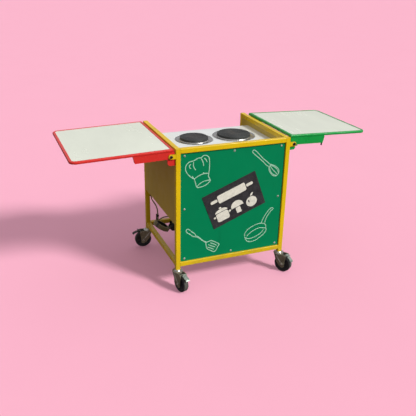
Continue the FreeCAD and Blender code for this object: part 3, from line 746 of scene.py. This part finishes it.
def slab(name, outlines, base, top, look, edge=0.25):
    """Flat shapes on the plaque, thickened from base to top, with a small bevel."""
    curve = bpy.data.curves.new(name, "CURVE")
    curve.dimensions = "2D"
    curve.fill_mode = "BOTH"
    curve.extrude = (top - base) / 2 - edge
    curve.bevel_depth = edge
    curve.bevel_resolution = 1
    for points in outlines:
        spline = curve.splines.new("POLY")
        spline.points.add(len(points) - 1)
        for i, (u, v) in enumerate(points):
            spline.points[i].co = (u, v, 0, 1)
        spline.use_cyclic_u = True
    holder = bpy.data.objects.new(name + "_curve", curve)
    bpy.context.scene.collection.objects.link(holder)
    bpy.context.view_layer.update()
    flat = bpy.data.meshes.new_from_object(holder.evaluated_get(bpy.context.evaluated_depsgraph_get()))
    bpy.data.objects.remove(holder)
    verts = [on_plaque(v.co.x, v.co.y, (base + top) / 2 + v.co.z) for v in flat.vertices]
    faces = [tuple(p.vertices) for p in flat.polygons]
    bpy.data.meshes.remove(flat)
    piece(name, (verts, faces), look, "base")


def oval(cu, cv, ru, rv, start=0.0, end=360.0, steps=28):
    """An oval or, between two angles in degrees, part of one."""
    out = []
    for i in range(steps + (0 if end - start >= 360 else 1)):
        angle = math.radians(start + (end - start) * i / steps)
        out.append((cu + ru * math.cos(angle), cv + rv * math.sin(angle)))
    return out


def soft_rect(u0, v0, u1, v1, r):
    """A rectangle with rounded corners."""
    corners = ((u1 - r, v1 - r, 0), (u0 + r, v1 - r, 90), (u0 + r, v0 + r, 180), (u1 - r, v0 + r, 270))
    out = []
    for cu, cv, start in corners:
        out += oval(cu, cv, r, r, start, start + 90, 5)
    return out


def plaque():
    """A dark plate with a rolling pin, a pot, a mushroom and an apple in relief."""
    slab("plaque", [soft_rect(-160, -102, 160, 102, 2.0)], 0.0, 2.0, "slate", 0.4)
    pin = [soft_rect(-84, 24, 84, 70, 9), soft_rect(-128, 39, -88, 55, 7), soft_rect(88, 39, 128, 55, 7)]
    pot = [soft_rect(-124, -78, -52, -28, 10), soft_rect(-140, -48, -127, -38, 4),
           soft_rect(-49, -48, -36, -38, 4), oval(-88, -24, 37, 17, 0, 180, 16), oval(-88, -1, 7, 5)]
    mushroom = [oval(5, -36, 36, 30, 0, 180, 18) + [(-31, -42), (41, -42)], soft_rect(-9, -80, 19, -46, 6)]
    leaf_mark = [(90, -20), (97, -9), (111, -6), (106, -17), (96, -22)]
    apple = [oval(88, -54, 32, 29), oval(74, -46, 3.5, 9), leaf_mark]
    slab("plaque_motif", pin + pot + mushroom + apple, 2.0, 3.0, "cream")


# ---- hob ----
def hot_plate(hand):
    """A cast plate with turned grooves round a shallow middle."""
    radius = PLATES[hand][1] / 2
    top = HOB_TOP + 14.0
    recess = radius * 0.28
    profile = [(0, top - 1.0), (3, top - 1.0), (recess - 1.2, top - 1.0), (recess, top - 0.2)]
    r = recess + 2.0
    while r < radius - 9.0:
        profile += [(r, top), (r + 3.0, top), (r + 3.5, top - 0.45), (r + 4.3, top - 0.45)]
        r += 4.8
    profile += [(radius - 6.5, top), (radius - 2.4, top), (radius - 0.8, top - 0.7), (radius, top - 2.4),
                (radius, DISH + 2), (radius - 1.5, DISH), (0, DISH)]
    shape = lathe(profile, plate_middle(hand), UP, 112)
    made = piece("plate_" + hand, shape, "plate_" + hand, "base", 28)
    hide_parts("hot_plate_" + hand)


def round_plates(section):
    """A closed section, out from each plate's edge and up from the dish, turned round both plates."""
    rings = []
    for hand, (_, size) in PLATES.items():
        outline = [(size / 2 + out, DISH + up) for out, up in section]
        rings.append(lathe(outline, plate_middle(hand), UP, 112))
    return joined(rings)


def spill_rings():
    """The plates' own rounded trim rings, seated in the dish."""
    section = [(0.4, 0), (0.4, 4.2), (0.9, 4.9), (2.0, 5.0), (3.2, 4.4), (4.6, 2.2), (5.8, 0.6), (5.9, 0),
               (0.4, 0)]
    made = piece("trim_rings", round_plates(section), "bright", "base")
    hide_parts("spill_rings")


def drip_pans():
    """A polished pan pressed into the dish round each hot plate, with a rolled rim."""
    section = [(6.2, 0.1), (6.2, 0.9), (10.0, 0.5), (16.0, 0.6), (20.5, 1.4), (23.4, 3.3), (25.0, 3.9),
               (26.4, 3.6), (26.6, 3.1), (25.4, 3.05), (20.2, 0.3), (6.2, 0.1)]
    piece("drip_pans", round_plates(section), "chrome", "base")


def flute(angle, radius, height):
    """Fine grip flutes round a knob's skirt."""
    return 0.02 * math.cos(28 * angle) if 15.5 < radius < 18.5 and 1 < height < 5 else 0.0


def knob(hand):
    """A fluted skirt with a grip bar across it and a white mark."""
    x = KNOB_X[hand]
    y = HOB_REAR + 0.5
    z = KNOB_Z
    profile = [(0, 0.0), (17.0, 0.0), (17.6, 1.2), (17.6, 4.6), (16.6, 5.6), (14.0, 6.0), (13.2, 13.0),
               (12.0, 14.6), (0, 15.0)]
    skirt = lathe(profile, at(x, y, z), BACK, 112, flute)
    bar = block(x - 3.2, y + 5.5, z - 16.2, x + 3.2, y + 18.4, z + 16.2, 1.6)
    made = piece("knob_grip_" + hand, joined([skirt, bar]), "plastic", hand + "_knob")
    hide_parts("knob_" + hand)
    mark = block(x - 0.8, y + 18.0, z + 4.0, x + 0.8, y + 18.75, z + 15.0, 0.2)
    piece("knob_mark_" + hand, mark, "white_line", hand + "_knob")


def dial_ticks():
    """Seven marks round three quarters of each knob, long and short by turns."""
    section = [(-0.6, -0.1), (0.6, -0.1), (0.6, 0.3), (-0.6, 0.3)]
    inner = 20.4
    ticks = []
    for x in KNOB_X.values():
        centre = at(x, HOB_REAR, KNOB_Z)
        for i in range(7):
            angle = math.radians(90 + 270 * i / 6)
            length = 4.0 if i % 2 == 0 else 2.4
            out = Vector((math.cos(angle), 0, math.sin(angle))) * MM
            ticks.append(sweep([centre + out * inner, centre + out * (inner + length)], section, up=BACK))
    piece("dial_ticks", joined(ticks), "plastic", "base")


def louvres():
    """Four pressed louvres at each end of the cook's side."""
    slats = []
    for side in (-1, 1):
        for i in range(4):
            x = side * (232.0 + 11.0 * i)
            slats.append(block(x - 3.0, HOB_REAR - 0.5, 698.0, x + 3.0, HOB_REAR + 2.0, 734.0, 0.9))
    piece("hob_louvres", joined(slats), "steel_sheet", "base")


def lamps():
    """A pilot lamp's cap for each plate."""
    profile = [(0, 0.0), (6.0, 0.0), (6.0, 1.2), (5.0, 1.8), (4.6, 3.0), (3.0, 4.4), (0, 5.0)]
    caps = [lathe(profile, at(x, HOB_REAR, 718.5), BACK, 32) for x in (-50.0, 50.0)]
    made = piece("lamp_caps", joined(caps), "amber", "base")
    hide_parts("hob_lamps")


# ---- casters ----
def caster_place(name, along, across, z):
    """A point in a caster's own frame: along its trail, across it, and up from the floor, in mm."""
    side = -1 if name.endswith("left") else 1
    end = -1 if name.startswith("front") else 1
    heading = math.radians(CASTERS[name])
    return at(side * POST_X + along * math.cos(heading) - across * math.sin(heading),
              end * POST_Y + along * math.sin(heading) + across * math.cos(heading), z - DROP)


def caster_axis(name):
    """The direction of a caster's axle."""
    heading = math.radians(CASTERS[name])
    return Vector((-math.sin(heading), math.cos(heading), 0))


def mirrored(outline):
    """The same outline on the far side of the wheel, in the order that carries on from it."""
    return [(r, -h) for r, h in reversed(outline)]


def tyre(name):
    """A rubber tyre whose worn tread, between two grooves, has its own look."""
    centre = caster_place(name, TRAIL, 0, AXLE_Z)
    axis = caster_axis(name)
    wall = [(39.0, -11.0), (41.0, -14.6), (44.5, -15.0), (47.8, -13.4), (49.4, -10.5)]
    tread = [(49.9, -6.0), (49.3, -4.6), (49.3, -3.4), (49.9, -2.0)]
    outline = wall + tread + mirrored(wall + tread) + wall[:1]
    shape = lathe(outline, centre, axis, 72)
    made = piece("tyre_" + name, shape, "rubber", "roller_" + name, 50)
    mesh = made.data
    mesh.materials.append(LOOK["tread"])
    for polygon in mesh.polygons:
        away = polygon.center - centre
        aside = away.dot(axis)
        if (away - axis * aside).length / MM > 48.6 and abs(aside) / MM < 12.5:
            polygon.material_index = 1
    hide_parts("wheel_" + name)


def hub(name):
    """A nylon disc with a boss, a rim and six ribs on each face."""
    centre = caster_place(name, TRAIL, 0, AXLE_Z)
    axis = caster_axis(name)
    half = [(5.2, -15.0), (11.0, -15.0), (12.5, -13.5), (12.8, -7.5), (16.0, -6.8), (33.0, -6.8),
            (36.0, -8.0), (37.5, -12.6), (39.6, -13.0)]
    rib = ((12.0, 10.5), (24.0, 9.6), (37.0, 10.5))
    parts = [lathe(half + mirrored(half) + half[:1], centre, axis, 64)]
    section = [(-1.4, -3.6), (1.4, -3.6), (1.0, 0.6), (-1.0, 0.6)]
    level = axis.cross(UP)
    for i in range(6):
        angle = math.radians(60 * i + 20)
        out = level * math.cos(angle) + UP * math.sin(angle)
        for side in (-1, 1):
            line = [centre + out * r * MM + axis * side * h * MM for r, h in rib]
            parts.append(sweep(line, section, up=axis * side))
    piece("hub_" + name, joined(parts), "hub", "roller_" + name, 40)


def fork_trim(name):
    """Axle nuts with washers, the stamped ribs of the legs, the lever's pin heads and the swivel race."""
    axis = caster_axis(name)
    washer = [(0, 0), (9.6, 0), (9.6, 1.2), (0, 1.2)]
    nut = [(0, 1.2), (7.6, 1.2), (7.6, 4.6), (6.6, 5.4), (0, 5.4)]
    thread = [(0, 5.2), (4.2, 5.2), (4.2, 6.2), (3.4, 6.9), (0, 6.9)]
    rib = ((-4, 98), (4, 84), (14, 71), (23, 62), (28, 58))
    rib_section = [(-2.6, -0.3), (2.6, -0.3), (1.6, 0.9), (-1.6, 0.9)]
    pin_head = [(0, 0), (4.0, 0), (3.8, 1.0), (2.4, 1.6), (0, 1.6)]
    race = [(12.0, 108.5), (28.3, 108.5), (28.9, 109.2), (28.4, 110.6), (20.4, 110.8), (12.0, 110.8),
            (12.0, 108.5)]
    parts = []
    for side in (-1, 1):
        across = side * FORK_FACE
        out = axis * side
        axle_end = caster_place(name, TRAIL, across, AXLE_Z)
        parts.append(lathe(washer, axle_end, out, 32))
        parts.append(lathe(nut, axle_end, out, 6))
        parts.append(lathe(thread, axle_end, out, 24))
        line = [caster_place(name, along, across, z) for along, z in rib]
        parts.append(sweep(rounded_path(line, False, 5), rib_section, up=out))
        parts.append(lathe(pin_head, caster_place(name, LEVER_X, across, LEVER_Z), out, 20))
    parts.append(lathe(race, caster_place(name, 0, 0, 0), UP, 48))
    piece("fork_trim_" + name, joined(parts), "bright", "swivel_" + name)


def pedal_place(name, along, across, z):
    """A point on a brake lever, given for the lever up."""
    if name in PRESSED:
        c = math.cos(BRAKE_STROKE)
        s = math.sin(BRAKE_STROKE)
        u = along - LEVER_X
        v = z - LEVER_Z
        along = LEVER_X + u * c + v * s
        z = LEVER_Z - u * s + v * c
    return caster_place(name, along, across, z)


def pedal_look(name):
    """The rear left lever, which stands in shade, gets a darker copy of the zinc: painted shade; the others
    are bare zinc.
    """
    return "pedal_painted_shade" if name == "rear_left" else "pedal"


def pedal_ribs(name):
    """Pressed grip ribs across the lever's foot plate."""
    section = [(-1.0, -0.9), (1.0, -0.9), (0.6, 0.9), (-0.6, 0.9)]
    parts = []
    for along, z in ((72, 104.3), (77, 102.9), (82, 101.1), (87, 99.0), (92, 96.8)):
        line = [pedal_place(name, along, across, z - 0.4) for across in (-9.5, 9.5)]
        parts.append(sweep(line, section))
    piece("pedal_ribs_" + name, joined(parts), pedal_look(name), "brake_" + name)


# ---- mains lead ----
def on_coil(u, v, h):
    """A point in the coil's own plane, u downhill and v back, and h along its axis, in mm."""
    c = math.cos(COIL_TILT)
    s = math.sin(COIL_TILT)
    return at(COIL_MIDDLE[0] + u * c + h * s, COIL_MIDDLE[1] + v, COIL_MIDDLE[2] - u * s + h * c)


def coil_turns():
    """Six wound turns of the lead, three across and two deep, each easing over to the next lane."""
    lanes = [(47.7, 8.6), (47.7, 0.0), (47.7, -8.6), (40.2, -8.6), (40.2, 0.0), (40.2, 8.4), (40.2, 8.6)]
    turns = 5.98
    steps = 264
    path = []
    for i in range(steps + 1):
        turn = turns * i / steps
        lane = 0
        for crossing in range(5):
            t = min(max((turn - crossing - 0.75) / 0.3, 0.0), 1.0)
            lane += t * t * (3 - 2 * t)
        k = min(int(lane), 5)
        f = lane - k
        r = lanes[k][0] * (1 - f) + lanes[k + 1][0] * f - 0.4 * math.sin(2.3 * turn) ** 2
        h = lanes[k][1] * (1 - f) + lanes[k + 1][1] * f
        angle = math.radians(90.0 - 360.0 * turn)
        path.append(on_coil(r * math.cos(angle), r * math.sin(angle), h))
    axis = on_coil(0, 0, 1) - on_coil(0, 0, 0)
    shape = sweep(path, circle(CABLE_RADIUS, 12), up=axis.normalized())
    made = piece("lead_turns", shape, "cable", "base", 60)
    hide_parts("lead_coil")


def coil_ties():
    """Two straps round the wound turns."""
    section = [(-0.5, -6.0), (0.5, -6.0), (0.5, 6.0), (-0.5, 6.0)]
    outline = soft_rect(35.9, -13.2, 52.6, 13.4, 6.0)
    ties = []
    for turn in (215, 325):
        angle = math.radians(turn)
        c = math.cos(angle)
        s = math.sin(angle)
        loop = [on_coil(r * c, r * s, h) for r, h in outline]
        along = (on_coil(-s, c, 0) - on_coil(0, 0, 0)).normalized()
        ties.append(sweep(loop, section, closed=True, up=along))
    piece("lead_ties", joined(ties), "tread", "base", 50)


def plug_details():
    """Ridges on the plug's strain relief and a raised rim round its face."""
    rim = [(9.0, -0.2), (11.5, -0.2), (12.0, 0.5), (11.5, 1.2), (9.0, 1.2), (8.5, 0.5), (9.0, -0.2)]
    parts = []
    for i in range(3):
        h = 2.5 + 3.4 * i
        inner = 8.0 - 0.2 * h - 1.2
        outer = inner + 1.9
        ridge = [(inner, h - 1.0), (outer, h - 0.7), (outer, h + 0.7), (inner, h + 1.0), (inner, h - 1.0)]
        parts.append(lathe(ridge, at(*PLUG_BACK), UP, 24))
    parts.append(lathe(rim, at(*PLUG_FACE), FORWARD, 36))
    piece("plug_ridges", joined(parts), "plastic", "base")


# ---- leaves ----
def bolt_washers():
    """A washer under each hinge bolt's head."""
    ring = [(4.2, 0), (8.4, 0), (8.4, 0.9), (4.2, 0.9), (4.2, 0)]
    washers = [lathe(ring, at(side * BOLT_X, y, BOLT_Z), FORWARD, 28) for side in (-1, 1) for y in BOLT_Y]
    piece("bolt_washers", joined(washers), "bright", "base")


# ---- stage ----
def stage():
    """A pale floor, and a far wall round it, so that every view ends in the same colour."""
    shapes = {
        "floor": ([(0, 0), (40000, 0)], floor_look("floor_pale")),
        "backdrop": ([(38000, -200), (38000, 30000), (0, 34000)], backdrop_look("backdrop_pale")),
    }
    for name, (outline, look) in shapes.items():
        mesh = mesh_of(name, lathe(outline, Vector((0, 0, -0.0005)), UP, 96), 80)
        mesh.materials.append(look)
        thing = bpy.data.objects.new(name, mesh)
        thing.visible_diffuse = False
        thing.visible_glossy = False
        thing.visible_shadow = False
        bpy.context.scene.collection.objects.link(thing)


def key_light():
    """One broad soft sun from the front right."""
    data = bpy.data.lights.new("key", "SUN")
    data.energy = 2.95
    data.angle = math.radians(12.0)
    data.color = (1.0, 0.99, 0.96)
    lamp = bpy.data.objects.new("key", data)
    lamp.rotation_mode = "QUATERNION"
    lamp.rotation_quaternion = Vector((0.465, -0.638, 0.616)).to_track_quat("Z", "Y")
    bpy.context.scene.collection.objects.link(lamp)


def surround():
    """An even grey light from above that fades, round the horizon, to a dim warm one from below."""
    below = (0.138, 0.083, 0.074, 1.0)
    above = (0.44, 0.43, 0.44, 1.0)
    world = bpy.data.worlds.new("studio")
    world.use_nodes = True
    tree = world.node_tree
    place = tree.nodes.new("ShaderNodeTexCoord")
    split = tree.nodes.new("ShaderNodeSeparateXYZ")
    fade = tree.nodes.new("ShaderNodeMapRange")
    blend = tree.nodes.new("ShaderNodeMix")
    fade.inputs["From Min"].default_value = -0.15
    fade.inputs["From Max"].default_value = 0.25
    blend.data_type = "RGBA"
    blend.inputs[6].default_value = below
    blend.inputs[7].default_value = above
    tree.links.new(place.outputs["Generated"], split.inputs[0])
    tree.links.new(split.outputs["Z"], fade.inputs["Value"])
    tree.links.new(fade.outputs["Result"], blend.inputs[0])
    tree.links.new(blend.outputs[2], tree.nodes["Background"].inputs["Color"])
    bpy.context.scene.world = world
    bpy.context.scene.view_settings.view_transform = "Standard"


make_camera()
stage()
key_light()
surround()

# look, bevel in mm, nodes
DRESS = (
    ("yellow", 0.0, ("post_front_left", "post_front_right", "post_rear_left", "post_rear_right",
                     "rail_top_front", "rail_top_left", "rail_top_right", "rail_low_front",
                     "rail_low_left", "rail_low_right", "rail_low_back", "rail_mid_back",
                     "panel_strips")),
    # The side panels and well walls take the darker copy of the yellow enamel: painted shade.
    ("painted_shade_yellow", 0.0, ("side_panel_left", "side_panel_right", "well_walls")),
    ("board", 0.0, ("front_panel",)),
    ("enamel", 0.0, ("hob_top",)),
    ("steel_sheet", 0.0, ("hob_body",)),
    ("laminate", 0.0, ("leaf_left_top", "leaf_right_top")),
    ("plastic", 0.0, ("lead_gland", "lead_plug")),
    ("cable", 0.0, ("lead_drop", "lead_tail")),
    ("yellow", 0.8, ("lugs_left", "lugs_right")),
    ("red", 0.6, ("leaf_left_rim", "arm_left_front", "arm_left_back", "bump_plates_left")),
    ("green", 0.6, ("leaf_right_rim", "arm_right_front", "arm_right_back", "bump_plates_right")),
    ("black_steel", 0.4, ("bolts_left", "bolts_right", "lead_hooks", "hook_pin")),
    ("bright", 0.5, ("caster_heads",)),
)
for look, bevel, nodes in DRESS:
    for node in nodes:
        dress(node, look, bevel)
for name in CASTERS:
    dress("fork_" + name, "zinc", 0.9)
    dress("pedal_" + name, pedal_look(name), 0.4)

welds()
panel_screw_set()
draw_hat()
draw_whisk()
draw_spatula()
draw_pan()
plaque()
for hand in PLATES:
    hot_plate(hand)
    knob(hand)
spill_rings()
drip_pans()
dial_ticks()
louvres()
lamps()
for name in CASTERS:
    tyre(name)
    hub(name)
    fork_trim(name)
    pedal_ribs(name)
coil_turns()
coil_ties()
plug_details()
bolt_washers()
